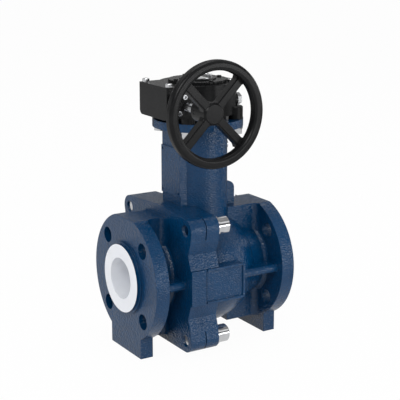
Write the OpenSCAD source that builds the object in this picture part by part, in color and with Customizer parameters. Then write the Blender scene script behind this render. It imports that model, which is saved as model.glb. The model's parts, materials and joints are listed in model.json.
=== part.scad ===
// Lined two-piece flanged ball valve with a worm gear operator and handwheel.
// Origin: centre of the inlet sealing face. +X is the flow direction, +Z points up the stem.
// The operator side, with the handwheel, is -Y. The valve is drawn fully open.

/* [Pipe ends] */
// Distance between the two sealing faces
face_to_face = 203; // [196:0.5:216]
// Diameter of the flow passage
bore_d = 49.4; // [40:0.2:51]
// Outside diameter of the pipe flanges
flange_d = 152.4; // [150:0.2:160]
// Thickness of the iron flange discs
flange_t = 17.2; // [14:0.2:20]
// Bolt circle of the pipe flanges
flange_pcd = 120.65; // [118:0.05:124]
// Bolt holes in the pipe flanges
flange_hole_d = 19.05; // [14:0.05:20]
// Height of the flat cut on top of the pipe flanges
flange_flat_z = 72.6; // [70:0.2:74]
// Diameter of the raised iron ring behind the lining face
ring_d = 87.4; // [84:0.2:96]
// Height of the raised iron ring
ring_h = 3; // [2:0.5:5]
// Diameter of the white lining face
lining_face_d = 81.6; // [72:0.2:83]
// Thickness of the lining face in front of the ring
lining_face_t = 3; // [2:0.5:5]

/* [Feet] */
// Height of the pipe axis above the feet
axis_height = 91; // [88:0.5:110]
// Width of a foot across the pipe
foot_w = 73.4; // [60:0.2:90]
// Thickness of a foot along the pipe
foot_t = 16.2; // [12:0.2:17]

/* [Body halves] */
// Distance from the inlet face to the stem axis
stem_x = 106.9; // [104:0.1:110]
// Distance from the inlet face to the joint between the body halves
split_x = 69.5; // [68:0.1:71]
// Thickness of the joint plate of the end half
end_plate_t = 20.3; // [16:0.1:24]
// Thickness of the joint plate of the main half
main_plate_t = 17.5; // [14:0.1:20]
// Spacing of the four body screws, both ways
body_screw_square = 133; // [131:0.5:137]
// Corner radius of the joint plates
corner_r = 14; // [13:0.5:16]
// Height of the shallow roof of the joint plates
roof_z = 84.7; // [82:0.1:88]
// Half width of the joint plates at their waist
waist_y = 73; // [72:0.5:76]
// Height at which the waist is narrowest
waist_z = 38.5; // [34:0.5:44]
// Open gap between the plate corners
corner_gap = 1.2; // [0.6:0.1:2]
// Half width over the side pads
pad_y = 82; // [81:0.5:86]
// Half height of the side pads
pad_z = 21; // [18:0.5:26]
// Reach of the main side pads past the stem axis
pad_reach = 15; // [8:0.5:22]
// Width of the border round the bare field of the main side pads
pad_frame = 2.5; // [1.5:0.1:4]
// Depth of the bare field of the main side pads
pad_field_depth = 1.8; // [0.5:0.1:2]
// Corner radius of the main side pads
pad_corner = 3; // [2:0.5:6]
// Open gap between the pads of the two halves
pad_gap = 1.8; // [1:0.1:2.6]
// Outer radius of the ball housing
barrel_r = 70.2; // [68:0.1:71.5]
// Radius of the necks at the pipe flanges
neck_r = 43.4; // [40:0.1:46]
// Radius of the outlet neck where it leaves the ball housing
neck_root_r = 51; // [48:0.1:53]
// Half width of the box ribs above and below the necks
box_rib_y = 20; // [14:0.5:26]
// Half width over the flat side webs
web_y = 67; // [60:0.5:70]
// Thickness of the flat side webs
web_t = 10; // [6:0.5:14]
// Fillet radius of the ribs and webs
rib_fillet = 8; // [4:0.5:9]
// Thickness of the joint lip of both linings
joint_lip_t = 2; // [1.5:0.5:3]

/* [Column] */
// Outer radius of the column that carries the operator
column_r = 35.5; // [34.5:0.1:38]
// Height at which the slightly wider top band of the column starts
column_band_z = 166; // [155:0.5:170]
// Inner radius of the column
column_bore_r = 29; // [27.8:0.1:30]
// Reach of the flat front of the column from the stem axis
column_front = 36.4; // [36:0.1:37.2]
// Half width of the flat front of the column
column_flat_y = 21.5; // [18:0.5:24]
// How far the bare name panel stands out of the column
panel_h = 1.5; // [0.8:0.1:2]
// Bottom of the name panel
panel_z0 = 93; // [90:0.5:98]
// Top of the name panel
panel_z1 = 150.5; // [140:0.5:156]
// Height of the floor inside the column
column_floor_z = 100; // [96:0.5:102]
// Height of the top face of the column flange
top_z = 183; // [180:0.5:190]
// Thickness of the column flange
top_flange_t = 9.5; // [8:0.1:12]
// Radius of the column flange
top_flange_r = 54.1; // [53:0.1:58]
// Bolt circle radius of the operator
operator_bolt_r = 46; // [45:0.1:47]
// Width of the two windows near the column top
window_w = 13; // [8:0.5:14]
// Height of the two windows near the column top
window_h = 8.4; // [6:0.2:10]
// Reach of the rear rib of the column from the stem axis
rear_rib_x = 48.6; // [44:0.2:54]
// Top of the rear rib of the column
rear_rib_z = 101; // [92:0.5:110]

/* [Lining, seats and ball] */
// Radius of the ball
ball_r = 46; // [44:0.1:46.5]
// Wall of the lining
lining_t = 4; // [3:0.1:5]
// Gap between the ball and the lining around it
ball_gap = 3; // [2.2:0.1:3.5]
// Outer radius of the seat rings
seat_r = 39; // [37:0.1:40]
// Depth of the seat backs inside the outside of the ball
seat_back_inset = 2; // [1:0.1:4]
// Depth of the seat fronts inside the outside of the ball
seat_front_inset = 16; // [13:0.1:18]
// Gap between the seats and the ball
seat_gap = 0.15; // [0.05:0.05:0.3]

/* [Stem and packing] */
// Radius of the stem
stem_r = 12; // [10:0.1:12.4]
// Running clearance of the turning shafts, on the radius
run_gap = 0.05; // [0.02:0.01:0.1]
// Radius of the stem collar inside the body
stem_collar_r = 16; // [14:0.1:17]
// Height of the stem collar
stem_collar_h = 6; // [4:0.5:7]
// Width of the stem tongue in the ball slot
tongue_w = 12; // [8:0.5:14]
// Depth of the slot in the ball
slot_depth = 9; // [7:0.5:12]
// Outer radius of the packing
packing_r = 18.4; // [17.5:0.1:19]
// Height of one packing ring
packing_h = 4.5; // [3.5:0.1:5]
// Number of packing rings
packing_count = 4; // [3:1:4]
// Height of the packing chamber floor
packing_z = 66; // [65:0.5:68]
// Height of the stem bearing ring under the packing
stem_bush_h = 6; // [4:0.5:7]
// Height of the top of the round stem, where its square starts
stem_top_z = 128; // [126:0.5:132]
// Width of the square on the stem
stem_square = 16.8; // [13:0.1:16.9]
// Length of the square on the stem
stem_square_h = 20; // [15:0.5:24]
// Radius of the bright coupling above the stem
coupling_r = 21; // [18:0.5:23]
// Width of the square on top of the coupling
drive_square = 20; // [16:0.1:21]

/* [Body screws] */
// Diameter of the screws that join the body halves
body_screw_d = 14; // [12:0.5:15]
// Diameter of the round screw heads
body_head_d = 21; // [19:0.5:22]
// Height of the screw heads
body_head_h = 15; // [12:0.1:18]
// Outside diameter of the screw washers
washer_d = 25; // [22:0.5:26]
// Thickness of the screw washers
washer_t = 2.8; // [2:0.1:4]

/* [Gearbox] */
// Centre distance between worm and worm wheel
gear_a = 42; // [42:0.05:42.3]
// Gear module
gear_m = 1.75; // [1.7:0.01:1.75]
// Number of teeth on a full worm wheel
wheel_teeth = 36; // [36:1:36]
// Height of the worm axis above the column flange
worm_h = 22; // [21:0.5:24]
// Face width of the worm wheel
wheel_w = 16; // [12:0.5:18]
// Play between the teeth
backlash = 0.3; // [0.25:0.05:0.5]
// Outer radius of the round gear case
case_r = 46; // [45.5:0.1:48]
// Inner radius of the round gear case
case_bore_r = 36; // [35:0.1:37]
// Height of the gear case base ring
case_base_h = 6; // [4:0.5:6.5]
// Height of the joint between gear case and lid, above the column flange
case_h = 38.5; // [38:0.5:41]
// Thickness of the gear case lid
lid_t = 4.5; // [4:0.5:7]
// Reach of the worm box from the stem axis
box_x = 60.6; // [60:0.1:64]
// Half width of the worm box
box_y = 32; // [31:0.1:33]
// Radius of the long bottom edges of the worm box
box_edge_r = 6; // [3:0.5:8]
// Radius of the mounting lugs
lug_r = 8.5; // [8:0.1:9]
// Height of the mounting lugs
lug_h = 15.5; // [13:0.5:15.5]
// Radius of the front bearing boss
boss_r = 15; // [14.6:0.1:15.2]
// Clearance of the front bearing boss's face past the round gear case
boss_clear = 0.26; // [0.2:0.02:0.6]
// Least reach of the front bearing boss past the worm box
boss_h = 4; // [3:0.1:5]
// Wall of the worm box behind the rear bearing
box_end_t = 3; // [2:0.5:4]
// Thickness of the front bearing cap
cap_t = 5; // [4:0.5:7]
// Radius of the worm shaft
shaft_r = 6; // [5:0.1:6.2]
// Distance of the stop screws from the stem axis
stop_y = 24; // [22:0.5:25]
// Distance of the stop faces of the worm wheel from its axis
stop_face = 12; // [12:0.1:13]
// Radius of the fixed indicator ring
dial_ring_r = 35; // [30:0.5:35.5]
// Radius of the turning indicator dial
dial_r = 21.5; // [20:0.5:24]

/* [Handwheel] */
// Outer radius of the handwheel rim
wheel_r = 60; // [58:0.1:64]
// Radial width of the rim
rim_w = 11.6; // [9:0.1:14]
// Depth of the rim along its axis
rim_t = 12.5; // [10:0.5:16]
// Distance of the handwheel hub front from the stem axis
hub_y = 104; // [98:0.5:112]
// Reach of the rim middle past the hub front
rim_lead = 1.5; // [-4:0.5:4]
// Radius of the handwheel hub
hub_r = 12.6; // [11.5:0.1:14]
// Length of the handwheel hub
hub_l = 30; // [26:0.1:36]
// Width of the front face of a spoke
spoke_w = 7.4; // [6:0.1:10]
// Step from the front face of a spoke to its wider back
spoke_step = 1.4; // [1:0.1:2]
// Depth of a spoke along the wheel axis
spoke_t = 11; // [7:0.5:12]

/* [Hidden] */

paint_blue = "#2c4468";
operator_black = "#2b2c2e";
lining_white = "#f2f3f5";
seat_white = "#e4e6e8";
steel = "#c3c6ca";
bright_steel = "#dfe2e5";
bronze = "#a8804a";
rubber = "#1c1c1d";

e = 0.01;
bore_r = bore_d / 2;
flange_r = flange_d / 2;
ring_r = ring_d / 2;
disc_in_x = lining_face_t + ring_h;
disc_out_x = face_to_face - disc_in_x;
neck_in_x = disc_in_x + flange_t;
neck_out_x = disc_out_x - flange_t;
end_plate_x = split_x - end_plate_t;
main_plate_x = split_x + main_plate_t;
corner_p = body_screw_square / 2;
cavity_r = ball_r + ball_gap;
seat_back = ball_r - seat_back_inset;
seat_front = ball_r - seat_front_inset;
seat_in_x = stem_x - seat_back;
seat_out_x = stem_x + seat_back;
joint_lip_r = cavity_r + lining_t + 5;
barrel_end = sqrt(pow(barrel_r, 2) - pow(neck_root_r + 3, 2));
pad_end_x = stem_x + pad_reach;

slot_z = ball_r - slot_depth;
tongue_l = 23;
tongue_gap = 0.1;
collar_z = ball_r + 0.6;
collar_top_z = collar_z + stem_collar_h;
pocket_z = collar_top_z + 1;
sleeve_gap = 0.4;
packing_top_z = packing_z + stem_bush_h + packing_count * packing_h;
gland_lift = 2;
gland_flange_h = 4;
gland_flange_r = 20.6;
gland_flange_z = column_floor_z + gland_lift;
spring_h = 2;
spring_count = 3;
plate_z = gland_flange_z + gland_flange_h + spring_count * spring_h;
gland_plate_t = 6;
gland_screw_r = 24.2;
gland_screw_d = 6;
gland_plate_r = column_bore_r - 0.6;
coupling_z = stem_top_z - 3;
coupling_top_z = top_z - 5;
square_top_z = stem_top_z + stem_square_h;
spigot_r = 27.5;
spigot_h = 3;
fit_gap = 0.1;

worm_x = stem_x - gear_a;
worm_z = top_z + worm_h;
case_z = top_z + case_base_h;
lid_z = top_z + case_h;
lid_top_z = lid_z + lid_t;
wheel_pitch_r = gear_m * wheel_teeth / 2;
worm_pitch_r = gear_a - wheel_pitch_r;
worm_lead = PI * gear_m;
worm_lead_angle = atan(worm_lead / (2 * PI * worm_pitch_r));
worm_turns = 6;
worm_l = worm_turns * worm_lead;
tooth_root = 1.25 * gear_m;
collar_l = 3;
worm_bay_r = worm_pitch_r + gear_m + 2.75;
worm_bay_y = worm_l / 2 + collar_l + 1.8;
boss_y = max(sqrt(pow(case_r, 2) - pow(gear_a - boss_r, 2)) + boss_clear, box_y + boss_h);
cap_y = boss_y + cap_t;
rear_y = box_y - box_end_t;
bush_wall = 2;
journal_bush = 3;
cap_screw_r = 11.2;
cap_screw_d = 4;
seal_wall = 2.3;
operator_bolt_d = 8;
wheel_hub_r = 20;
journal_r = 17;
journal_z = top_z + 2;
hub_top_z = lid_z - 0.4;
top_journal_r = 12;
dial_ring_h = 3;
dial_ring_z = lid_top_z;
dial_gap = 0.5;
dial_z = dial_ring_z + dial_gap;
dial_t = dial_ring_h;
face_t = 1;
face_z = dial_z + dial_t;
stub_r = 8;
indicator_screw_x = 16;
indicator_head_r = 3.7;
stop_screw_d = 6;
spigot_pocket = 14;
web_start = 14;
stop_seat_x = case_r - 9.2;
stop_seat_r = 8.2;
stop_tip_gap = 0.3;
rim_mid_r = wheel_r - rim_w / 2;
hub_back_y = hub_y - hub_l;
rim_y = hub_y + rim_lead;
spoke_y = hub_y - 1 - spoke_t / 2;
shaft_front_y = hub_y - 5;
shaft_rear_y = rear_y - 0.3;
lid_screw_r = 40.2;
lid_box_screw_x = box_x - 5.8;
lid_box_screw_y = box_y - 5.2;

// Points [x, r] turned round the pipe axis
module lathe_x(points) {
    rotate([0, 90, 0])
        rotate_extrude($fn = 144)
            polygon([for (p = points) [p[1], p[0]]]);
}

// Flat outline in the Y-Z plane, made solid from x over t
module slab_x(x, t) {
    translate([x, 0, 0])
        rotate([90, 0, 90])
            linear_extrude(t)
                children();
}

// Round bar along X from x over l at the given side and height
module bar_x(x, y, z, r, l, n = 48) {
    translate([x, y, z])
        rotate([0, 90, 0])
            cylinder(r = r, h = l, $fn = n);
}

// Round bar along Y on the worm axis, from y0 to y1
module bar_y(y0, y1, r, n = 64) {
    translate([worm_x, y0, worm_z])
        rotate([-90, 0, 0])
            cylinder(r = r, h = y1 - y0, $fn = n);
}

// Upright round bar on the stem axis
module post(z, h, r, n = 96) {
    translate([stem_x, 0, z])
        cylinder(r = r, h = h, $fn = n);
}

// Upright ring on the stem axis
module washer(z, h, r_in, r_out) {
    difference() {
        post(z, h, r_out);
        post(z - 1, h + 2, r_in);
    }
}

// Hexagon bar, upright
module hex(af, h) {
    cylinder(r = af / sqrt(3), h = h, $fn = 6);
}

// Hexagon with turned-down corners on its far end, upright
module hex_head(af, h) {
    intersection() {
        hex(af, h);
        cylinder(r1 = af / sqrt(3) + h * 1.6, r2 = af / 2 - 0.4, h = h * 1.1, $fn = 48);
    }
}

// Every corner position of the body screws
module at_corners() {
    for (sy = [-1, 1])
        for (sz = [-1, 1])
            translate([0, sy * corner_p, sz * corner_p])
                children();
}

// Every bolt position of the operator on the column flange
module at_operator_bolts(z) {
    for (a = [45 : 90 : 315])
        translate([stem_x + operator_bolt_r * cos(a), operator_bolt_r * sin(a), z])
            children();
}

// Concave quarter fillet at the origin, filling the corner of +X and +Y
module corner_fillet(r) {
    difference() {
        square(r);
        translate([r, r])
            circle(r = r, $fn = 64);
    }
}

// Outline of the joint plates, seen along the pipe
module plate_outline() {
    for (sy = [-1, 1])
        for (sz = [-1, 1])
            translate([sy * corner_p, sz * corner_p])
                circle(r = corner_r, $fn = 64);
    side = corner_p + corner_r;
    half = [[side, -corner_p], [side - 2.2, -53], [waist_y, -waist_z], [side - 1, -pad_z + 1],
        [side - 1, pad_z - 1], [waist_y, waist_z], [side - 2.2, 53], [side, corner_p],
        [corner_p, side], [0, roof_z]];
    polygon(half);
    mirror([1, 0])
        polygon(half);
    polygon([[-corner_p, -side], [corner_p, -side], [side, -corner_p], [0, roof_z], [-side, -corner_p]]);
}

// Iron pipe flange disc with its raised ring, flat top and foot, outer face at x = 0 facing -X
module pipe_flange() {
    difference() {
        union() {
            difference() {
                bar_x(0, 0, 0, flange_r, flange_t, 144);
                translate([-1, -flange_r, flange_flat_z])
                    cube([flange_t + 2, flange_d, flange_r]);
            }
            translate([0, -foot_w / 2, -axis_height])
                cube([foot_t, foot_w, axis_height - flange_r * 0.6]);
            bar_x(-ring_h, 0, 0, ring_r, ring_h + 1, 96);
        }
        for (a = [45 : 90 : 315])
            bar_x(-1, flange_pcd / 2 * cos(a), flange_pcd / 2 * sin(a), flange_hole_d / 2,
                flange_t + 2);
    }
}

// Plan outline of a rib between x0 and x1, filleted at the ends that are asked for
module rib_plan(x0, x1, half, fillet0, fillet1) {
    translate([x0, -half])
        square([x1 - x0, 2 * half]);
    for (s = [0, 1])
        mirror([0, s]) {
            if (fillet0)
                translate([x0, half])
                    corner_fillet(rib_fillet);
            if (fillet1)
                translate([x1, half])
                    mirror([1, 0])
                        corner_fillet(rib_fillet);
        }
}

// Box ribs above and below a neck, and flat webs at its sides from web_x0 on
module ribs(x0, web_x0, x1, fillet0, fillet1, box_top, box_bottom) {
    translate([0, 0, box_bottom])
        linear_extrude(box_top - box_bottom)
            rib_plan(x0, x1, box_rib_y, fillet0, fillet1);
    edge = web_t / 2;
    intersection() {
        translate([0, 0, -edge])
            linear_extrude(web_t)
                rib_plan(web_x0, x1, web_y - rib_fillet, fillet0, true);
        slab_x(web_x0 - 1, x1 - web_x0 + 2)
            square([2 * web_y, web_t], center = true);
    }
    translate([web_x0, -web_y + edge, -edge])
        cube([x1 - web_x0, 2 * (web_y - edge), web_t]);
    for (s = [-1, 1])
        bar_x(web_x0, s * (web_y - edge), 0, edge, x1 - web_x0, 32);
}

// Wet surface of the main half, w outside it
function main_bore(w) = [[split_x - e, 0], [split_x - e, cavity_r + w],
    [stem_x + seat_front - 6, cavity_r + w], [stem_x + seat_front + w, seat_r + w],
    [seat_out_x + w, seat_r + w], [seat_out_x + w, bore_r + w],
    [face_to_face + 1, bore_r + w], [face_to_face + 1, 0]];

// Wet surface of the end half, w outside it
function end_bore(w) = [[-1, 0], [-1, bore_r + w], [seat_in_x - w, bore_r + w],
    [seat_in_x - w, seat_r + w], [split_x + e, seat_r + w], [split_x + e, 0]];

// Stem passage of the lining, w outside it
module stem_passage(w) {
    post(cavity_r * 0.5, pocket_z + w - cavity_r * 0.5, stem_collar_r + sleeve_gap + w);
    post(cavity_r * 0.5, packing_z - cavity_r * 0.5 + (w > 0 ? 0 : 1),
        stem_r + 0.35 + w);
}

// Main half: ball housing, outlet flange and the column for the operator, one casting
module main_body() {
    color(paint_blue)
        difference() {
            union() {
                slab_x(split_x, main_plate_t)
                    plate_outline();
                translate([stem_x, 0, 0])
                    sphere(r = barrel_r, $fn = 144);
                lathe_x([[stem_x + 20, 0], [stem_x + 20, neck_root_r], [stem_x + barrel_end, neck_root_r],
                    [neck_out_x - 4.5, neck_r], [neck_out_x - 1.3, neck_r + 1.3],
                    [neck_out_x + 1, neck_r + 5], [neck_out_x + 1, 0]]);
                translate([face_to_face, 0, 0])
                    mirror([1, 0, 0])
                        translate([disc_in_x, 0, 0])
                            pipe_flange();
                ribs(stem_x + 30, stem_x + web_start, neck_out_x + e, false, true, flange_flat_z,
                    -flange_flat_z);
                side_pads(split_x + pad_gap / 2, pad_end_x, pad_frame);
                column();
            }
            translate([split_x - barrel_r, -barrel_r - 1, -barrel_r - 1])
                cube([barrel_r, 2 * barrel_r + 2, barrel_r + 1 + roof_z]);
            lathe_x(main_bore(lining_t));
            lathe_x([[split_x - 1, 0], [split_x - 1, joint_lip_r],
                [split_x + joint_lip_t, joint_lip_r], [split_x + joint_lip_t, 0]]);
            stem_passage(lining_t);
            post(packing_z, column_floor_z - packing_z + 1, packing_r + e);
            post(column_floor_z, top_z - spigot_pocket + 1 - column_floor_z, column_bore_r);
            post(top_z - spigot_pocket, spigot_pocket + 1, spigot_r + fit_gap);
            at_corners() {
                bar_x(split_x - 1, 0, 0, body_screw_d / 2 + 0.5, main_plate_t + 2);
                bar_x(split_x - 1, 0, 0, corner_r + 2.5, 1 + corner_gap / 2);
            }
            at_operator_bolts(top_z - top_flange_t - 1)
                cylinder(r = operator_bolt_d / 2 + 0.4, h = top_flange_t + 2, $fn = 32);
            for (s = [-1, 1])
                translate([stem_x + s * gland_screw_r, 0, column_floor_z - 11])
                    cylinder(r = gland_screw_d / 2, h = 12, $fn = 32);
            translate([stem_x - column_front + 2.4, -column_r - 1, window_z()])
                cube([window_w, 2 * column_r + 2, window_h]);
            for (y = [-1, 1])
                for (z = [panel_z0 + 4, panel_z1 - 4])
                    bar_x(stem_x - column_front - panel_h - 1, y * (column_flat_y - 3), z, 1.5, 5, 24);
            earthing_axis()
                cylinder(r = 3, h = 12, $fn = 32);
        }
}

function window_z() = top_z - top_flange_t - 4 - window_h;

// Raised pads on both sides between x0 and x1, lowered inside a border where frame is set
module side_pads(x0, x1, frame) {
    pad_root = barrel_r * 0.72;
    for (s = [0, 1])
        mirror([0, s, 0])
            difference() {
                translate([x0, pad_y, 0])
                    rotate([90, 0, 0])
                        linear_extrude(pad_y - pad_root)
                            pad_outline(x1 - x0, pad_z, frame > 0 ? pad_corner : 0);
                if (frame > 0)
                    translate([x0 - 1, pad_y + 1, 0])
                        rotate([90, 0, 0])
                            linear_extrude(1 + pad_field_depth)
                                pad_outline(x1 - x0 + 1 - frame, pad_z - frame, pad_corner - 1);
            }
}

// Pad outline from x = 0 to l with both far corners rounded
module pad_outline(l, half, r) {
    translate([0, -half])
        square([l - r, 2 * half]);
    translate([0, -half + r])
        square([l, 2 * (half - r)]);
    if (r > 0)
        for (s = [-1, 1])
            translate([l - r, s * (half - r)])
                circle(r = r, $fn = 48);
}

// Column between the ball housing and the operator
module column() {
    post(30, top_z - 30 - 1, column_r);
    post(column_band_z, top_z - column_band_z - 1, column_r + 0.5);
    translate([stem_x - column_front, -column_flat_y, 40])
        cube([column_front, 2 * column_flat_y, top_z - 41]);
    translate([stem_x - column_front - panel_h, -column_flat_y, panel_z0])
        cube([panel_h + 1, 2 * column_flat_y, panel_z1 - panel_z0]);
    post(top_z - top_flange_t, top_flange_t, top_flange_r, 144);
    rear_rib_edge = 9;
    translate([0, 6, 0])
        rotate([90, 0, 0])
            linear_extrude(12) {
                translate([stem_x + 20, 40])
                    square([rear_rib_x - 20, rear_rib_z - rear_rib_edge - 40]);
                translate([stem_x + 20, 40])
                    square([rear_rib_x - 20 - rear_rib_edge, rear_rib_z - 40]);
                translate([stem_x + rear_rib_x - rear_rib_edge, rear_rib_z - rear_rib_edge])
                    circle(r = rear_rib_edge, $fn = 64);
            }
}

// End half: inlet flange, neck and joint plate, one casting
module end_body() {
    color(paint_blue)
        difference() {
            union() {
                slab_x(end_plate_x, end_plate_t)
                    plate_outline();
                translate([disc_in_x, 0, 0])
                    pipe_flange();
                lathe_x([[neck_in_x - 1, 0], [neck_in_x - 1, neck_r + 5], [neck_in_x + 1.3, neck_r + 1.3],
                    [neck_in_x + 4.5, neck_r], [end_plate_x - 4.5, neck_r],
                    [end_plate_x - 1.3, neck_r + 1.3], [end_plate_x + 1, neck_r + 5],
                    [end_plate_x + 1, 0]]);
                ribs(neck_in_x - e, neck_in_x - e, end_plate_x + e, true, true, flange_flat_z,
                    -flange_flat_z);
                side_pads(end_plate_x, split_x - pad_gap / 2, 0);
            }
            lathe_x(end_bore(lining_t));
            lathe_x([[split_x - joint_lip_t, 0], [split_x - joint_lip_t, joint_lip_r],
                [split_x + 1, joint_lip_r], [split_x + 1, 0]]);
            at_corners() {
                bar_x(end_plate_x - 1, 0, 0, body_screw_d / 2, end_plate_t + 2);
                bar_x(split_x - corner_gap / 2, 0, 0, corner_r + 2.5, 1 + corner_gap / 2);
            }
        }
}

// Moulded lining of the main half, with its stem sleeve
module main_lining() {
    color(lining_white)
        difference() {
            union() {
                lathe_x([for (p = main_bore(lining_t)) [min(max(p[0], split_x), face_to_face), p[1]]]);
                lathe_x([[face_to_face - lining_face_t, 0],
                    [face_to_face - lining_face_t, lining_face_d / 2],
                    [face_to_face, lining_face_d / 2], [face_to_face, 0]]);
                lathe_x([[split_x, 0], [split_x, joint_lip_r],
                    [split_x + joint_lip_t, joint_lip_r], [split_x + joint_lip_t, 0]]);
                stem_passage(lining_t);
            }
            lathe_x([for (p = main_bore(0)) [p[0] < stem_x ? p[0] - 1 : p[0], p[1]]]);
            stem_passage(0);
        }
}

// Moulded lining of the end half
module end_lining() {
    color(lining_white)
        difference() {
            union() {
                lathe_x([for (p = end_bore(lining_t)) [max(min(p[0], split_x), 0), p[1]]]);
                lathe_x([[0, 0], [0, lining_face_d / 2], [lining_face_t, lining_face_d / 2],
                    [lining_face_t, 0]]);
                lathe_x([[split_x - joint_lip_t, 0], [split_x - joint_lip_t, joint_lip_r],
                    [split_x, joint_lip_r], [split_x, 0]]);
            }
            lathe_x([for (p = end_bore(0)) [p[0] > stem_x / 2 ? p[0] : p[0], p[1]]]);
        }
}

// Seat ring on the side given by s, its hollow face ground to the ball
module seat(s) {
    color(seat_white)
        difference() {
            translate([stem_x, 0, 0])
                mirror([s < 0 ? 1 : 0, 0, 0])
                    lathe_x([[seat_front, bore_r], [seat_front, seat_r], [seat_back, seat_r],
                        [seat_back, bore_r]]);
            translate([stem_x, 0, 0])
                sphere(r = ball_r + seat_gap, $fn = 144);
        }
}

module inlet_seat() {
    seat(-1);
}

module outlet_seat() {
    seat(1);
}

// Ball with its bore and the slot for the stem tongue
module ball() {
    color(bright_steel)
        difference() {
            translate([stem_x, 0, 0])
                sphere(r = ball_r, $fn = 144);
            bar_x(stem_x - ball_r - 1, 0, 0, bore_r, 2 * ball_r + 2, 144);
            translate([stem_x - tongue_w / 2 - tongue_gap, -ball_r, slot_z])
                cube([tongue_w + 2 * tongue_gap, 2 * ball_r, slot_depth + 1]);
        }
}

// Stem with its tongue, blow-out collar and top square
module stem() {
    color(steel)
        union() {
            intersection() {
                translate([stem_x - tongue_w / 2, -tongue_l / 2, slot_z + tongue_gap])
                    cube([tongue_w, tongue_l, collar_z - slot_z]);
                post(slot_z, ball_r, stem_collar_r);
            }
            post(collar_z, stem_collar_h, stem_collar_r);
            post(collar_z, stem_top_z - collar_z, stem_r);
            translate([stem_x - stem_square / 2, -stem_square / 2, stem_top_z - 1])
                cube([stem_square, stem_square, stem_square_h + 1]);
        }
}

module stem_bearing() {
    color(bronze)
        washer(packing_z, stem_bush_h, stem_r + run_gap, packing_r);
}

// Stacked packing rings with bevelled edges
module packing_rings() {
    bevel = 0.6;
    ring_t = packing_h - 0.05;
    color(seat_white)
        for (i = [0 : packing_count - 1])
            translate([stem_x, 0, packing_z + stem_bush_h + i * packing_h])
                rotate_extrude($fn = 96)
                    polygon([[stem_r + run_gap, 0], [packing_r - bevel, 0], [packing_r, bevel],
                        [packing_r, ring_t - bevel], [packing_r - bevel, ring_t],
                        [stem_r + run_gap, ring_t]]);
}

module gland_follower() {
    color(steel)
        difference() {
            union() {
                post(packing_top_z, gland_flange_z - packing_top_z + 1, packing_r - fit_gap);
                post(gland_flange_z, gland_flange_h, gland_flange_r);
            }
            post(packing_top_z - 1, 40, stem_r + 0.3);
        }
}

// Cone springs that keep the packing loaded, stacked in turn
module disc_springs() {
    r0 = stem_r + 0.8;
    r1 = gland_flange_r - 0.6;
    plate = 1.2;
    color(steel)
        for (i = [0 : spring_count - 1])
            translate([stem_x, 0, gland_flange_z + gland_flange_h + i * spring_h])
                rotate_extrude($fn = 96)
                    polygon(i % 2 == 0
                        ? [[r0, spring_h - plate], [r1, 0], [r1, plate], [r0, spring_h]]
                        : [[r0, 0], [r1, spring_h - plate], [r1, spring_h], [r0, plate]]);
}

module gland_plate() {
    color(steel)
        difference() {
            post(plate_z, gland_plate_t, gland_plate_r);
            post(plate_z - 1, gland_plate_t + 2, stem_r + 0.6);
            for (s = [-1, 1])
                translate([stem_x + s * gland_screw_r, 0, plate_z - 1])
                    cylinder(r = gland_screw_d / 2 + 0.2, h = gland_plate_t + 2, $fn = 32);
        }
}

module gland_screws() {
    color(bright_steel)
        for (s = [-1, 1])
            translate([stem_x + s * gland_screw_r, 0, column_floor_z - 10])
                union() {
                    cylinder(r = gland_screw_d / 2, h = plate_z + gland_plate_t - column_floor_z + 11,
                        $fn = 32);
                    translate([0, 0, plate_z + gland_plate_t - column_floor_z + 10])
                        hex_head(8, 4);
                }
}

// Socket head screws that join the body halves, their ends just inside the end plate
module body_screws() {
    recess = 2;
    head_x = main_plate_x + washer_t;
    chamfer = 1.2;
    color(bright_steel)
        at_corners()
            difference() {
                union() {
                    bar_x(end_plate_x + recess, 0, 0, body_screw_d / 2, head_x + 1 - end_plate_x - recess);
                    bar_x(head_x, 0, 0, body_head_d / 2, body_head_h - chamfer, 64);
                    translate([head_x + body_head_h - chamfer, 0, 0])
                        rotate([0, 90, 0])
                            cylinder(r1 = body_head_d / 2, r2 = body_head_d / 2 - chamfer, h = chamfer,
                                $fn = 64);
                }
                translate([head_x + body_head_h - 7, 0, 0])
                    rotate([0, 90, 0])
                        hex(12, 8);
            }
}

module body_washers() {
    color(bright_steel)
        at_corners()
            difference() {
                bar_x(main_plate_x, 0, 0, washer_d / 2, washer_t, 64);
                bar_x(main_plate_x - 1, 0, 0, body_screw_d / 2 + 0.5, washer_t + 2);
            }
}

// Place and direction of the earthing screw on the column
module earthing_axis() {
    translate([stem_x, 0, top_z - 35])
        rotate([0, 0, -8])
            translate([column_r - 6, 0, 0])
                rotate([0, 90, 0])
                    children();
}

module earthing_screw() {
    color(bright_steel)
        earthing_axis()
            union() {
                cylinder(r = 2.9, h = 6.5, $fn = 32);
                translate([0, 0, 6.1])
                    cylinder(r = 5, h = 2.4, $fn = 32);
            }
}

// Bright sleeve that joins the stem to the operator
module stem_coupling() {
    color(bright_steel)
        difference() {
            union() {
                post(coupling_z, coupling_top_z - coupling_z, coupling_r);
                translate([stem_x - drive_square / 2, -drive_square / 2, coupling_top_z - 1])
                    cube([drive_square, drive_square, worm_z + 9 - coupling_top_z]);
            }
            post(coupling_z - 1, stem_top_z - coupling_z + 1, stem_r + fit_gap);
            translate([stem_x - stem_square / 2 - fit_gap, -stem_square / 2 - fit_gap, stem_top_z - 1])
                cube([stem_square + 2 * fit_gap, stem_square + 2 * fit_gap, stem_square_h + 2]);
            translate([stem_x, 0, stem_top_z + stem_square_h / 2])
                rotate([-90, 0, 0])
                    cylinder(r = 3, h = coupling_r + 1, $fn = 32);
        }
}

module coupling_screw() {
    color(steel)
        translate([stem_x, stem_square / 2 + 0.05, stem_top_z + stem_square_h / 2])
            rotate([-90, 0, 0])
                cylinder(r = 3, h = coupling_r - stem_square / 2 - 1, $fn = 32);
}

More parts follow.
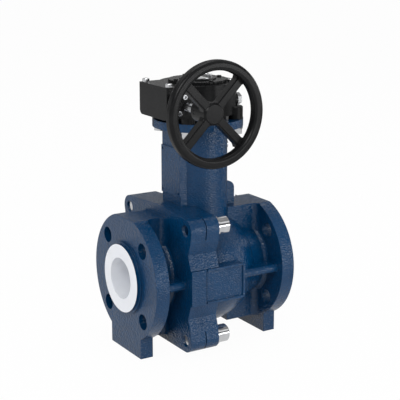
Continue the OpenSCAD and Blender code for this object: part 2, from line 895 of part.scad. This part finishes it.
// Outline of the gear case seen from above
module case_outline() {
    translate([stem_x, 0])
        circle(r = case_r, $fn = 144);
    translate([stem_x - box_x, -box_y])
        square([box_x, 2 * box_y]);
}

// Gear case with worm box, mounting lugs, worm bosses and stop screw seats
module gear_case() {
    color(operator_black)
        difference() {
            union() {
                post(case_z, lid_z - case_z, case_r, 144);
                slab_x(stem_x - box_x, box_x)
                    union() {
                        translate([-box_y, case_z - 1 + box_edge_r])
                            square([2 * box_y, lid_z - case_z + 1 - box_edge_r]);
                        translate([-box_y + box_edge_r, case_z - 1])
                            square([2 * (box_y - box_edge_r), 20]);
                        for (s = [-1, 1])
                            translate([s * (box_y - box_edge_r), case_z - 1 + box_edge_r])
                                circle(r = box_edge_r, $fn = 48);
                    }
                post(top_z, case_base_h + 1, 34);
                post(top_z - spigot_h, spigot_h + 1, spigot_r);
                at_operator_bolts(top_z) {
                    cylinder(r = lug_r, h = lug_h - 1.2, $fn = 48);
                    translate([0, 0, lug_h - 1.2])
                        cylinder(r1 = lug_r, r2 = lug_r - 1.2, h = 1.2, $fn = 48);
                }
                bar_y(-boss_y, 0, boss_r);
                for (s = [-1, 1])
                    bar_x(stem_x, s * stop_y, worm_z, stop_seat_r, stop_seat_x);
            }
            post(case_z + 4, lid_z - case_z, case_bore_r);
            post(top_z - spigot_h - 1, case_base_h + 8, journal_r + journal_bush);
            bar_y(-worm_bay_y, worm_bay_y, worm_bay_r);
            translate([worm_x - worm_bay_r, -worm_bay_y, worm_z])
                cube([2 * worm_bay_r, 2 * worm_bay_y, lid_z - worm_z + 1]);
            bar_y(-cap_y - 1, rear_y, shaft_r + bush_wall);
            at_operator_bolts(top_z - 1)
                cylinder(r = operator_bolt_d / 2, h = lug_h - 2, $fn = 32);
            for (s = [-1, 1]) {
                bar_x(stem_x + 5, s * stop_y, worm_z, stop_screw_d / 2, 50, 32);
                bar_x(stem_x + stop_seat_x, s * stop_y, worm_z, stop_seat_r, 10);
            }
            at_lid_screws(lid_z - 9)
                cylinder(r = 2.4, h = 10, $fn = 24);
            bar_y(-cap_y - 1, -boss_y, shaft_r + seal_wall + 0.3);
            at_cap_screws(boss_y - 8)
                cylinder(r = cap_screw_d / 2, h = 9, $fn = 24);
        }
}

// Every lid screw position: two on the worm box, two on the round case
module at_lid_screws(z) {
    for (s = [-1, 1])
        translate([stem_x - lid_box_screw_x, s * lid_box_screw_y, z])
            children();
    for (a = [-45, 45])
        translate([stem_x + lid_screw_r * cos(a), lid_screw_r * sin(a), z])
            children();
}

module gear_case_lid() {
    color(operator_black)
        difference() {
            translate([0, 0, lid_z])
                linear_extrude(lid_t)
                    case_outline();
            post(lid_z - 1, lid_t + 2, top_journal_r + 3);
            at_lid_screws(lid_z - 1)
                cylinder(r = 2.6, h = lid_t + 2, $fn = 24);
            for (a = [0 : 90 : 270])
                translate([stem_x + (dial_ring_r - 5) * cos(a), (dial_ring_r - 5) * sin(a), lid_z + 1])
                    cylinder(r = 1.2, h = lid_t, $fn = 24);
        }
}

module lid_screws() {
    color(bright_steel)
        at_lid_screws(lid_top_z)
            difference() {
                union() {
                    translate([0, 0, -lid_t - 8])
                        cylinder(r = 2.3, h = lid_t + 9, $fn = 24);
                    cylinder(r = 4.2, h = 3.4, $fn = 32);
                    translate([0, 0, 3.3])
                        cylinder(r1 = 4.2, r2 = 3.4, h = 0.7, $fn = 32);
                }
                translate([0, 0, 1.5])
                    hex(4, 4);
            }
}

module operator_bolts() {
    color(bright_steel)
        at_operator_bolts(top_z - top_flange_t - 2)
            union() {
                cylinder(r = operator_bolt_d / 2, h = top_flange_t + 2 + lug_h - 4, $fn = 32);
                mirror([0, 0, 1])
                    hex_head(15, 6);
            }
}

module operator_washers() {
    color(bright_steel)
        at_operator_bolts(top_z - top_flange_t - 2)
            difference() {
                cylinder(r = 8.5, h = 2, $fn = 48);
                translate([0, 0, -1])
                    cylinder(r = operator_bolt_d / 2 + 0.2, h = 4, $fn = 32);
            }
}

// Bearing rings of the worm wheel, in the case floor and in the lid
module wheel_bushes() {
    color(bronze) {
        washer(top_z + 1, case_base_h + 3 - 1, journal_r + run_gap, journal_r + journal_bush);
        washer(lid_z, lid_t, top_journal_r + run_gap, top_journal_r + 3);
    }
}

// One slanted tooth of the worm wheel, pointing along +X
module wheel_tooth() {
    half = (PI * gear_m - backlash) / 4;
    slope = tan(20);
    inner = wheel_pitch_r - tooth_root - 1;
    translate([wheel_pitch_r, 0, worm_z])
        rotate([worm_lead_angle, 0, 0])
            translate([-wheel_pitch_r, 0, -wheel_w / 2 - 1])
                linear_extrude(wheel_w + 2)
                    polygon([[inner, -half - slope * tooth_root + 0.2],
                        [wheel_pitch_r, -half],
                        [wheel_pitch_r + gear_m, -half + slope * gear_m + 0.14],
                        [wheel_pitch_r + gear_m, half - slope * gear_m - 0.14],
                        [wheel_pitch_r, half],
                        [inner, half + slope * tooth_root - 0.2]]);
}

// Worm wheel: a toothed quadrant with stop faces, on a full hub with two journals
module worm_wheel() {
    pitch_angle = 360 / wheel_teeth;
    first = ceil((180 - 20) / pitch_angle);
    last = floor((270 + 20) / pitch_angle) - 1;
    root_r = wheel_pitch_r - tooth_root;
    color(bronze)
        difference() {
            union() {
                intersection() {
                    post(worm_z - wheel_w / 2, wheel_w, root_r);
                    translate([stem_x - wheel_pitch_r, -wheel_pitch_r, worm_z - wheel_w])
                        cube([wheel_pitch_r + stop_face, wheel_pitch_r + stop_face, 2 * wheel_w]);
                }
                intersection() {
                    post(worm_z - wheel_w / 2, wheel_w, wheel_pitch_r + gear_m + 1);
                    translate([stem_x, 0, 0])
                        for (i = [first : last])
                            rotate([0, 0, (i + 0.5) * pitch_angle])
                                wheel_tooth();
                }
                post(case_z + 4.4, hub_top_z - case_z - 4.4, wheel_hub_r);
                post(journal_z, worm_z - journal_z, journal_r);
                post(hub_top_z - 1, dial_z - hub_top_z + 1, top_journal_r);
                post(dial_z - 1, dial_t + 1, stub_r);
            }
            translate([stem_x - drive_square / 2 - fit_gap, -drive_square / 2 - fit_gap, journal_z - 1])
                cube([drive_square + 2 * fit_gap, drive_square + 2 * fit_gap, worm_z + 9 - journal_z]);
        }
}

// Radius of the worm at an angle from the middle of its thread
function thread_r(a) =
    let (half_pitch = worm_lead / 2,
        y = worm_lead * abs(a) / 360,
        flat = (half_pitch - backlash) / 2 - tan(20) * gear_m)
    max(worm_pitch_r - tooth_root, min(worm_pitch_r + gear_m,
        worm_pitch_r + gear_m - (y - flat) / tan(20)));

// Worm: a single left-hand thread, with a collar at both ends
module worm() {
    crest = 360 / worm_lead * ((worm_lead / 2 - backlash) / 2 - tan(20) * gear_m);
    root = crest + 360 / worm_lead * tan(20) * (gear_m + tooth_root);
    angles = [-180, -150, -root, -(2 * root + crest) / 3, -(root + 2 * crest) / 3, -crest, 0, crest,
        (root + 2 * crest) / 3, (2 * root + crest) / 3, root, 150];
    color(steel)
        difference() {
            union() {
                translate([worm_x, -worm_l / 2, worm_z])
                    rotate([-90, 0, 0])
                        linear_extrude(worm_l, twist = 360 * worm_turns, slices = 20 * worm_turns)
                            polygon([for (a = angles) thread_r(a) * [cos(a), sin(a)]]);
                bar_y(-worm_l / 2 - collar_l, -worm_l / 2 + 0.5, worm_pitch_r - 0.6);
                bar_y(worm_l / 2 - 0.5, worm_l / 2 + collar_l, worm_pitch_r - 0.6);
            }
            bar_y(-worm_l, worm_l, shaft_r);
        }
}

module worm_shaft() {
    color(steel)
        difference() {
            bar_y(-shaft_front_y, shaft_rear_y, shaft_r);
            pin_hole(2.5);
        }
}

// Cross hole through handwheel hub and worm shaft
module pin_hole(r) {
    translate([worm_x - hub_r - 2, -hub_back_y - 7, worm_z])
        rotate([0, 90, 0])
            cylinder(r = r, h = 2 * hub_r + 4, $fn = 32);
}

module worm_bushes() {
    color(bronze)
        for (span = [[-boss_y + 0.2, -worm_bay_y], [worm_bay_y, rear_y]])
            difference() {
                bar_y(span[0], span[1], shaft_r + bush_wall);
                bar_y(span[0] - 1, span[1] + 1, shaft_r + run_gap);
            }
}

module thrust_washers() {
    washer_w = worm_bay_y - worm_l / 2 - collar_l - 0.1;
    color(bronze)
        for (y = [-worm_bay_y, worm_bay_y - washer_w])
            difference() {
                bar_y(y, y + washer_w, worm_pitch_r + 1);
                bar_y(y - 1, y + washer_w + 1, shaft_r + run_gap);
            }
}

// Every bearing cap screw position, at the distance y in front of the stem axis
module at_cap_screws(y) {
    for (a = [100 : 120 : 340])
        translate([worm_x + cap_screw_r * cos(a), -y, worm_z + cap_screw_r * sin(a)])
            rotate([90, 0, 0])
                children();
}

// Clear space over the mounting lugs, cut from the bearing cap
module lug_relief() {
    at_operator_bolts(top_z)
        cylinder(r = lug_r + 0.4, h = lug_h + 0.4, $fn = 48);
}

module shaft_seal() {
    color(rubber)
        difference() {
            bar_y(-cap_y + 0.4, -boss_y - 1, shaft_r + seal_wall);
            bar_y(-cap_y, -boss_y, shaft_r + run_gap);
        }
}

module front_bearing_cap() {
    color(operator_black)
        difference() {
            bar_y(-cap_y, -boss_y, boss_r);
            bar_y(-cap_y - 1, -boss_y - 1, shaft_r + seal_wall);
            bar_y(-cap_y - 1, -boss_y + 1, shaft_r + 0.5);
            lug_relief();
            at_cap_screws(boss_y - 1)
                cylinder(r = cap_screw_d / 2 + 0.2, h = cap_t + 2, $fn = 24);
        }
}

module cap_screws() {
    length = cap_t + 7;
    color(steel)
        at_cap_screws(boss_y - 7)
            difference() {
                union() {
                    cylinder(r = cap_screw_d / 2, h = length + 0.5, $fn = 24);
                    translate([0, 0, length])
                        cylinder(r = 3, h = 2.8, $fn = 32);
                    translate([0, 0, length + 2.7])
                        cylinder(r1 = 3, r2 = 2.5, h = 0.6, $fn = 32);
                }
                translate([0, 0, length + 1.3])
                    hex(3, 3);
            }
}

// Screws that limit the quarter turn, one for each end
module stop_screws() {
    color(bright_steel)
        for (s = [-1, 1])
            translate([stem_x, s * stop_y, worm_z])
                rotate([0, 90, 0])
                    union() {
                        translate([0, 0, stop_face + stop_tip_gap])
                            cylinder(r = stop_screw_d / 2, h = stop_seat_x - stop_face, $fn = 32);
                        translate([0, 0, stop_seat_x])
                            hex_head(13, 5.8);
                    }
}

// Fixed ring of the position indicator, ribbed round its edge
module indicator_ring() {
    ribs = 36;
    color(operator_black)
        difference() {
            post(dial_ring_z, dial_ring_h, dial_ring_r);
            post(dial_ring_z - 1, dial_ring_h + 2, dial_r + dial_gap);
            for (i = [0 : ribs - 1])
                rotate_about_stem(i * 360 / ribs)
                    translate([dial_ring_r + 0.6, 0, dial_ring_z - 1])
                        cylinder(r = 1.5, h = dial_ring_h + 2, $fn = 24);
            for (a = [0 : 90 : 270])
                rotate_about_stem(a)
                    translate([dial_ring_r - 5, 0, dial_ring_z - 1])
                        cylinder(r = 1.4, h = dial_ring_h + 2, $fn = 24);
        }
}

module rotate_about_stem(a) {
    translate([stem_x, 0, 0])
        rotate([0, 0, a])
            children();
}

module indicator_ring_screws() {
    color(operator_black)
        for (a = [0 : 90 : 270])
            rotate_about_stem(a)
                translate([dial_ring_r - 5, 0, dial_ring_z - 3])
                    union() {
                        cylinder(r = 1.2, h = dial_ring_h + 3.5, $fn = 24);
                        translate([0, 0, dial_ring_h + 3])
                            cylinder(r = 2.6, h = 1.6, $fn = 32);
                    }
}

// Carrier of the indicator face, pressed on the stub of the worm wheel
module indicator_dial() {
    color(operator_black)
        difference() {
            post(dial_z, dial_t, dial_r);
            post(dial_z - 1, dial_t + 2, stub_r);
            at_indicator_screws(dial_z + 0.5)
                cylinder(r = 1.2, h = dial_t, $fn = 24);
        }
}

// Both screws of the indicator face
module at_indicator_screws(z) {
    for (s = [-1, 1])
        translate([stem_x + s * indicator_screw_x, 0, z])
            children();
}

module indicator_face() {
    color(operator_black)
        difference() {
            post(face_z, face_t, dial_r);
            at_indicator_screws(face_z - 1)
                cylinder(r = 1.4, h = face_t + 2, $fn = 24);
        }
}

// Bright plate on one side of the indicator face, cut out round a screw
module indicator_pointer() {
    color(bright_steel)
        translate([stem_x, 0, face_z + face_t])
            linear_extrude(0.8)
                difference() {
                    circle(r = dial_r - 2.5, $fn = 96);
                    translate([4, -dial_r])
                        square(2 * dial_r);
                    translate([-indicator_screw_x, 0])
                        circle(r = indicator_head_r + 0.6, $fn = 48);
                }
}

module indicator_screws() {
    color(bright_steel)
        at_indicator_screws(dial_z + 0.7)
            union() {
                cylinder(r = 1.2, h = dial_t + face_t, $fn = 24);
                translate([0, 0, dial_t + face_t - 0.7])
                    cylinder(r = indicator_head_r, h = 2.4, $fn = 32);
            }
}

// Cross-section of the rim, with rounded corners
module rim_section() {
    edge = 4;
    square([rim_w, rim_t - 2 * edge], center = true);
    square([rim_w - 2 * edge, rim_t], center = true);
    for (sx = [-1, 1])
        for (sy = [-1, 1])
            translate([sx * (rim_w / 2 - edge), sy * (rim_t / 2 - edge)])
                circle(r = edge, $fn = 32);
}

// One spoke along +X: a flat front face on a wider rounded back, flared at hub and rim
module spoke() {
    x0 = hub_r - 3;
    x1 = wheel_r - rim_w + 2;
    back_w = spoke_w + 2 * spoke_step;
    back_t = spoke_t - spoke_step;
    half = back_w / 2;
    rotate([90, 0, 0])
        translate([0, 0, -spoke_t / 2])
            union() {
                translate([0, 0, spoke_step])
                    linear_extrude(back_t - spoke_step)
                        polygon([[x0, -half - 2], [x0 + 5, -half], [x1 - 4, -half], [x1, -half - 2],
                            [x1, half + 2], [x1 - 4, half], [x0 + 5, half], [x0, half + 2]]);
                for (s = [-1, 1])
                    translate([x0, s * (half - spoke_step), spoke_step])
                        rotate([0, 90, 0])
                            cylinder(r = spoke_step, h = x1 - x0, $fn = 32);
                translate([x0, -spoke_w / 2, 0])
                    cube([x1 - x0, spoke_w, spoke_t]);
            }
}

// Handwheel: rim, four spokes and a blind hub
module handwheel() {
    hub_edge = 2;
    color(operator_black)
        difference() {
            union() {
                translate([worm_x, -rim_y, worm_z])
                    rotate([90, 0, 0])
                        rotate_extrude($fn = 144)
                            translate([rim_mid_r, 0])
                                rim_section();
                bar_y(-hub_y + hub_edge, -hub_back_y, hub_r);
                translate([worm_x, -hub_y + hub_edge, worm_z])
                    rotate([90, 0, 0])
                        cylinder(r1 = hub_r, r2 = hub_r - hub_edge, h = hub_edge, $fn = 64);
                for (a = [45 : 90 : 315])
                    translate([worm_x, -spoke_y, worm_z])
                        rotate([0, a, 0])
                            spoke();
            }
            bar_y(-shaft_front_y - 0.5, -hub_back_y + 1, shaft_r);
            pin_hole(2.5);
        }
}

module handwheel_pin() {
    color(operator_black)
        intersection() {
            pin_hole(2.5);
            bar_y(-hub_y, -hub_back_y, hub_r - 0.3);
        }
}

main_body();
end_body();
main_lining();
end_lining();
inlet_seat();
outlet_seat();
ball();
stem();
stem_bearing();
packing_rings();
gland_follower();
disc_springs();
gland_plate();
gland_screws();
body_screws();
body_washers();
earthing_screw();
stem_coupling();
coupling_screw();
gear_case();
gear_case_lid();
lid_screws();
operator_bolts();
operator_washers();
wheel_bushes();
worm_wheel();
worm();
worm_shaft();
worm_bushes();
thrust_washers();
shaft_seal();
front_bearing_cap();
cap_screws();
stop_screws();
indicator_ring();
indicator_ring_screws();
indicator_dial();
indicator_face();
indicator_pointer();
indicator_screws();
handwheel();
handwheel_pin();
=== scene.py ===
import json
import math

import bpy
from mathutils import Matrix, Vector

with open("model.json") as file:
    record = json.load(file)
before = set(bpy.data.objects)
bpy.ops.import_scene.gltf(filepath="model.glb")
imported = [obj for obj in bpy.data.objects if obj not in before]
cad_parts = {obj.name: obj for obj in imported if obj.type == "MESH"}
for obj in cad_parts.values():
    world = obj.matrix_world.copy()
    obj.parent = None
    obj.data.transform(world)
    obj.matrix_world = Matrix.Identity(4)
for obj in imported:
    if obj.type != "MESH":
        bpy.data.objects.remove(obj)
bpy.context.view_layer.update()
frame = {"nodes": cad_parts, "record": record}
nodes = frame["nodes"]
MM = 0.001

# Middle of the valve along the pipe, and the lining faces at its two ends
MIDDLE_X = 101.5 * MM
RIM_FROM_MIDDLE = 99.8 * MM
RIM_HALF_WIDTH = 1.6 * MM
RIM_RADIUS = 40.6 * MM

BLUE = (0.0003, 0.035, 0.103, 1)
PAINT_ROUGHNESS = 0.07
LINING_ROUGHNESS = 0.42


# Shader nodes

def new_material(name):
    mat = bpy.data.materials.new(name)
    mat.use_nodes = True
    tree = mat.node_tree
    return mat, tree, tree.nodes["Principled BSDF"]


def put(shader, **values):
    names = {"base": "Base Color", "metal": "Metallic", "rough": "Roughness", "spec": "Specular IOR Level"}
    for key, value in values.items():
        shader.inputs[names[key]].default_value = value


def noise(tree, size_mm, detail=2.0, roughness=0.5, stretch=None):
    coords = tree.nodes.new("ShaderNodeTexCoord")
    place = coords.outputs["Object"]
    if stretch:
        mapping = tree.nodes.new("ShaderNodeMapping")
        mapping.inputs["Scale"].default_value = stretch
        tree.links.new(place, mapping.inputs["Vector"])
        place = mapping.outputs["Vector"]
    tex = tree.nodes.new("ShaderNodeTexNoise")
    tex.inputs["Scale"].default_value = 1.0 / (size_mm * MM)
    tex.inputs["Detail"].default_value = detail
    tex.inputs["Roughness"].default_value = roughness
    tree.links.new(place, tex.inputs["Vector"])
    return tex


def bump(tree, shader, tex, depth_mm, strength, under=None):
    node = tree.nodes.new("ShaderNodeBump")
    node.inputs["Strength"].default_value = strength
    node.inputs["Distance"].default_value = depth_mm * MM
    tree.links.new(tex.outputs["Fac"], node.inputs["Height"])
    if under:
        tree.links.new(under, node.inputs["Normal"])
    tree.links.new(node.outputs["Normal"], shader.inputs["Normal"])


def vary(tree, shader, tex, low, high, dark, light):
    """Drifts the base colour between two near shades, and returns the colour."""
    ramp = tree.nodes.new("ShaderNodeValToRGB")
    first, last = ramp.color_ramp.elements
    first.position, last.position = low, high
    first.color, last.color = (*dark, 1), (*light, 1)
    tree.links.new(tex.outputs["Fac"], ramp.inputs["Fac"])
    tree.links.new(ramp.outputs["Color"], shader.inputs["Base Color"])
    return ramp.outputs["Color"]


def reckon(tree, operation, *values):
    """A Math node on sockets or plain numbers."""
    node = tree.nodes.new("ShaderNodeMath")
    node.operation = operation
    for slot, value in zip(node.inputs, values):
        if isinstance(value, bpy.types.NodeSocket):
            tree.links.new(value, slot)
        else:
            slot.default_value = value
    return node.outputs[0]


def spread(tree, value, *ends):
    """A Map Range node: from low, from high, to low, to high."""
    node = tree.nodes.new("ShaderNodeMapRange")
    for slot, end in zip(node.inputs[1:5], ends):
        slot.default_value = end
    tree.links.new(value, node.inputs["Value"])
    return node.outputs["Result"]


def soft_edge(tree, radius_mm):
    """Normals that round the sharp edges, as thick paint does."""
    node = tree.nodes.new("ShaderNodeBevel")
    node.samples = 8
    node.inputs["Radius"].default_value = radius_mm * MM
    return node.outputs["Normal"]


# Finishes

def cast_blue_paint():
    mat, tree, shader = new_material("cast_blue_paint")
    put(shader, rough=PAINT_ROUGHNESS, spec=0.5)
    patches = noise(tree, 24, 3.0)
    vary(tree, shader, patches, 0.3, 0.7, (0.0002, 0.0315, 0.094), (0.0004, 0.0385, 0.112))
    peel = noise(tree, 1.9, 1.0, stretch=(0.8, 0.8, 1.2))
    bump(tree, shader, peel, 0.8, 1.0, soft_edge(tree, 0.5))
    return mat


def black_paint():
    mat, tree, shader = new_material("black_paint")
    put(shader, rough=0.25, spec=0.19)
    patches = noise(tree, 15)
    vary(tree, shader, patches, 0.35, 0.7, (0.0070, 0.0072, 0.0078), (0.0095, 0.0098, 0.0104))
    grain = noise(tree, 0.9)
    bump(tree, shader, grain, 0.1, 0.4, soft_edge(tree, 0.5))
    return mat


def lining_rim(tree):
    """1 on the outside edge of the two lining faces, where the body paint runs over it, and 0 elsewhere."""
    coords = tree.nodes.new("ShaderNodeTexCoord")
    apart = tree.nodes.new("ShaderNodeSeparateXYZ")
    tree.links.new(coords.outputs["Object"], apart.inputs[0])
    across = tree.nodes.new("ShaderNodeVectorMath")
    across.operation = "MULTIPLY"
    across.inputs[1].default_value = (0, 1, 1)
    tree.links.new(coords.outputs["Object"], across.inputs[0])
    radius = tree.nodes.new("ShaderNodeVectorMath")
    radius.operation = "LENGTH"
    tree.links.new(across.outputs[0], radius.inputs[0])
    from_middle = reckon(tree, "ABSOLUTE", reckon(tree, "SUBTRACT", apart.outputs["X"], MIDDLE_X))
    on_side = reckon(tree, "COMPARE", from_middle, RIM_FROM_MIDDLE, RIM_HALF_WIDTH)
    outside = reckon(tree, "GREATER_THAN", radius.outputs["Value"], RIM_RADIUS)
    return reckon(tree, "MULTIPLY", on_side, outside)


def white_lining():
    mat, tree, shader = new_material("white_lining")
    put(shader, spec=0.45)
    cloud = noise(tree, 20)
    plain = vary(tree, shader, cloud, 0.3, 0.7, (0.87, 0.89, 0.94), (0.90, 0.92, 0.96))
    rim = lining_rim(tree)
    painted = tree.nodes.new("ShaderNodeMix")
    painted.data_type = "RGBA"
    unpainted_slot, paint_slot = [slot for slot in painted.inputs if slot.type == "RGBA"]
    colour = [slot for slot in painted.outputs if slot.type == "RGBA"][0]
    tree.links.new(rim, painted.inputs[0])
    tree.links.new(plain, unpainted_slot)
    paint_slot.default_value = BLUE
    tree.links.new(colour, shader.inputs["Base Color"])
    gloss = spread(tree, rim, 0.0, 1.0, LINING_ROUGHNESS, PAINT_ROUGHNESS)
    tree.links.new(gloss, shader.inputs["Roughness"])
    turned = noise(tree, 0.6, 1.0)
    bump(tree, shader, turned, 0.02, 0.3)
    return mat


def seat_plastic():
    mat, tree, shader = new_material("seat_plastic")
    put(shader, rough=0.5, spec=0.4)
    cloud = noise(tree, 8)
    vary(tree, shader, cloud, 0.3, 0.7, (0.74, 0.75, 0.76), (0.80, 0.81, 0.81))
    turned = noise(tree, 0.7, 1.0)
    bump(tree, shader, turned, 0.03, 0.3)
    return mat


def metal(name, dark, light, rough):
    mat, tree, shader = new_material(name)
    put(shader, metal=1.0, rough=rough)
    cloud = noise(tree, 6, 3.0)
    vary(tree, shader, cloud, 0.3, 0.7, dark, light)
    marks = noise(tree, 0.5, 2.0, 0.6)
    bump(tree, shader, marks, 0.01, 0.5)
    return mat


def seal_rubber():
    mat, tree, shader = new_material("seal_rubber")
    put(shader, rough=0.65, spec=0.35)
    cloud = noise(tree, 5)
    vary(tree, shader, cloud, 0.3, 0.7, (0.010, 0.010, 0.011), (0.016, 0.016, 0.017))
    skin = noise(tree, 0.5, 1.0)
    bump(tree, shader, skin, 0.02, 0.4)
    return mat


finishes = {
    "blue_paint": cast_blue_paint(),
    "black_paint": black_paint(),
    "white_lining": white_lining(),
    "seat_plastic": seat_plastic(),
    "bright_steel": metal("bright_steel", (0.74, 0.75, 0.77), (0.84, 0.85, 0.87), 0.13),
    "steel": metal("turned_steel", (0.50, 0.51, 0.53), (0.60, 0.61, 0.63), 0.2),
    "bronze": metal("bronze", (0.42, 0.27, 0.11), (0.55, 0.37, 0.17), 0.30),
    "seal_rubber": seal_rubber(),
}
slot_of = {s["node"]: s["material_slot"] for s in frame["record"]["subparts"]}
for name, obj in nodes.items():
    obj.data.materials.clear()
    obj.data.materials.append(finishes[slot_of[name]])


# Studio

FLOOR_SIZE = 12
# Just under the feet
FLOOR_Z = -0.0912


def pale_floor():
    """White to the camera, with the valve's shadow. Gloss mirrors it dimmer towards the outlet and the back."""
    mat, tree, shader = new_material("pale_floor")
    put(shader, base=(0.9, 0.9, 0.9, 1), rough=0.9)
    path = tree.nodes.new("ShaderNodeLightPath")
    shown = None
    for ray, weight in (("Is Camera Ray", 0.97), ("Is Glossy Ray", 1.0), ("Is Transmission Ray", 0.97)):
        part = reckon(tree, "MULTIPLY", path.outputs[ray], weight)
        shown = reckon(tree, "MAXIMUM", shown, part) if shown else part
    coords = tree.nodes.new("ShaderNodeTexCoord")
    towards_outlet = tree.nodes.new("ShaderNodeVectorMath")
    towards_outlet.operation = "DOT_PRODUCT"
    towards_outlet.inputs[1].default_value = (1.0, 0.5, 0.0)
    tree.links.new(coords.outputs["Object"], towards_outlet.inputs[0])
    mirrored = spread(tree, towards_outlet.outputs["Value"], 0.2, 0.6, 0.61, 0.15)
    level = tree.nodes.new("ShaderNodeMix")
    level.inputs["A"].default_value = 1.0
    tree.links.new(path.outputs["Is Glossy Ray"], level.inputs["Factor"])
    tree.links.new(mirrored, level.inputs["B"])
    glow = tree.nodes.new("ShaderNodeEmission")
    tree.links.new(level.outputs["Result"], glow.inputs["Strength"])
    mix = tree.nodes.new("ShaderNodeMixShader")
    tree.links.new(shown, mix.inputs[0])
    tree.links.new(shader.outputs[0], mix.inputs[1])
    tree.links.new(glow.outputs[0], mix.inputs[2])
    tree.links.new(mix.outputs[0], tree.nodes["Material Output"].inputs["Surface"])
    return mat


def floor():
    bpy.ops.object.select_all(action="DESELECT")
    bpy.ops.mesh.primitive_plane_add(size=FLOOR_SIZE, location=(0, 0, FLOOR_Z))
    plane = bpy.context.object
    plane.name = "floor"
    plane.data.materials.append(pale_floor())


def white_light(tree, strength):
    node = tree.nodes.new("ShaderNodeBackground")
    node.inputs["Color"].default_value = (1, 1, 1, 1)
    node.inputs["Strength"].default_value = strength
    return node


def studio_air():
    """White behind the valve, even soft light on it, and grey and pale bands for gloss and metal to mirror."""
    world = bpy.data.worlds.new("studio_air")
    world.use_nodes = True
    bpy.context.scene.world = world
    tree = world.node_tree
    tree.nodes.remove(tree.nodes["Background"])
    soft = white_light(tree, 0.42)
    seen = white_light(tree, 1.0)
    banded = white_light(tree, 1.0)

    # Height above the horizon, 0 straight down and 1 straight up, with the brightness there
    bands = ((0.0, 0.6), (0.495, 0.5), (0.51, 0.2), (0.555, 0.2), (0.575, 0.9), (0.60, 0.25),
             (0.66, 0.12), (0.74, 0.1), (0.78, 0.9), (0.84, 0.7), (0.88, 0.15), (1.0, 0.5))
    coords = tree.nodes.new("ShaderNodeTexCoord")
    apart = tree.nodes.new("ShaderNodeSeparateXYZ")
    tree.links.new(coords.outputs["Generated"], apart.inputs[0])
    ramp = tree.nodes.new("ShaderNodeValToRGB")
    for place, level in bands[1:-1]:
        ramp.color_ramp.elements.new(place)
    for stop, (place, level) in zip(ramp.color_ramp.elements, bands):
        stop.position = place
        stop.color = (level, level, level, 1)
    tree.links.new(reckon(tree, "MULTIPLY_ADD", apart.outputs["Z"], 0.5, 0.5), ramp.inputs["Fac"])
    tree.links.new(ramp.outputs["Color"], banded.inputs["Color"])

    path = tree.nodes.new("ShaderNodeLightPath")
    reflected = tree.nodes.new("ShaderNodeMixShader")
    tree.links.new(path.outputs["Is Glossy Ray"], reflected.inputs[0])
    tree.links.new(soft.outputs[0], reflected.inputs[1])
    tree.links.new(banded.outputs[0], reflected.inputs[2])
    mix = tree.nodes.new("ShaderNodeMixShader")
    straight = reckon(tree, "MAXIMUM", path.outputs["Is Camera Ray"], path.outputs["Is Transmission Ray"])
    tree.links.new(straight, mix.inputs[0])
    tree.links.new(reflected.outputs[0], mix.inputs[1])
    tree.links.new(seen.outputs[0], mix.inputs[2])
    tree.links.new(mix.outputs[0], tree.nodes["World Output"].inputs["Surface"])


def soft_light(name, place, size, power, mirrored=True, aim=(0.1, 0, 0.07)):
    data = bpy.data.lights.new(name, "AREA")
    data.shape = "RECTANGLE"
    data.size, data.size_y = size
    data.energy = power
    lamp = bpy.data.objects.new(name, data)
    bpy.context.scene.collection.objects.link(lamp)
    lamp.visible_glossy = mirrored
    lamp.location = place
    lamp.rotation_euler = (Vector(aim) - Vector(place)).to_track_quat("-Z", "Y").to_euler()


def camera():
    sensor_mm = 36
    photo_px = 400
    focal_px = 1114.6
    down, left = 14.234, 31.624
    data = bpy.data.cameras.new("camera")
    data.sensor_width = sensor_mm
    data.lens = focal_px / photo_px * sensor_mm
    data.clip_end = 50
    cam = bpy.data.objects.new("camera", data)
    bpy.context.scene.collection.objects.link(cam)
    cam.location = (-0.5767, -1.1154, 0.4129)
    cam.rotation_euler = (math.radians(90 - down), 0, math.radians(-left))
    bpy.context.scene.camera = cam


floor()
studio_air()
soft_light("key_light", (-1.1, -1.2, 1.5), (0.9, 0.9), 14)
soft_light("front_light", (0.5, -1.9, 0.5), (0.8, 1.2), 8, mirrored=False)
soft_light("low_light", (0.85, -1.3, 0.16), (1.0, 0.24), 3.2)
soft_light("top_light", (0.2, 0.1, 1.7), (1.0, 1.0), 7)
soft_light("side_light", (-1.9, 0.4, 0.5), (0.9, 1.4), 8.5, mirrored=False)
soft_light("right_light", (1.8, -0.25, 0.32), (0.9, 0.6), 3)
soft_light("back_light", (0.9, 2.0, 1.0), (1.6, 0.7), 2, mirrored=False, aim=(0.1, 0, 0.1))
camera()
bpy.context.scene.view_settings.view_transform = "Standard"
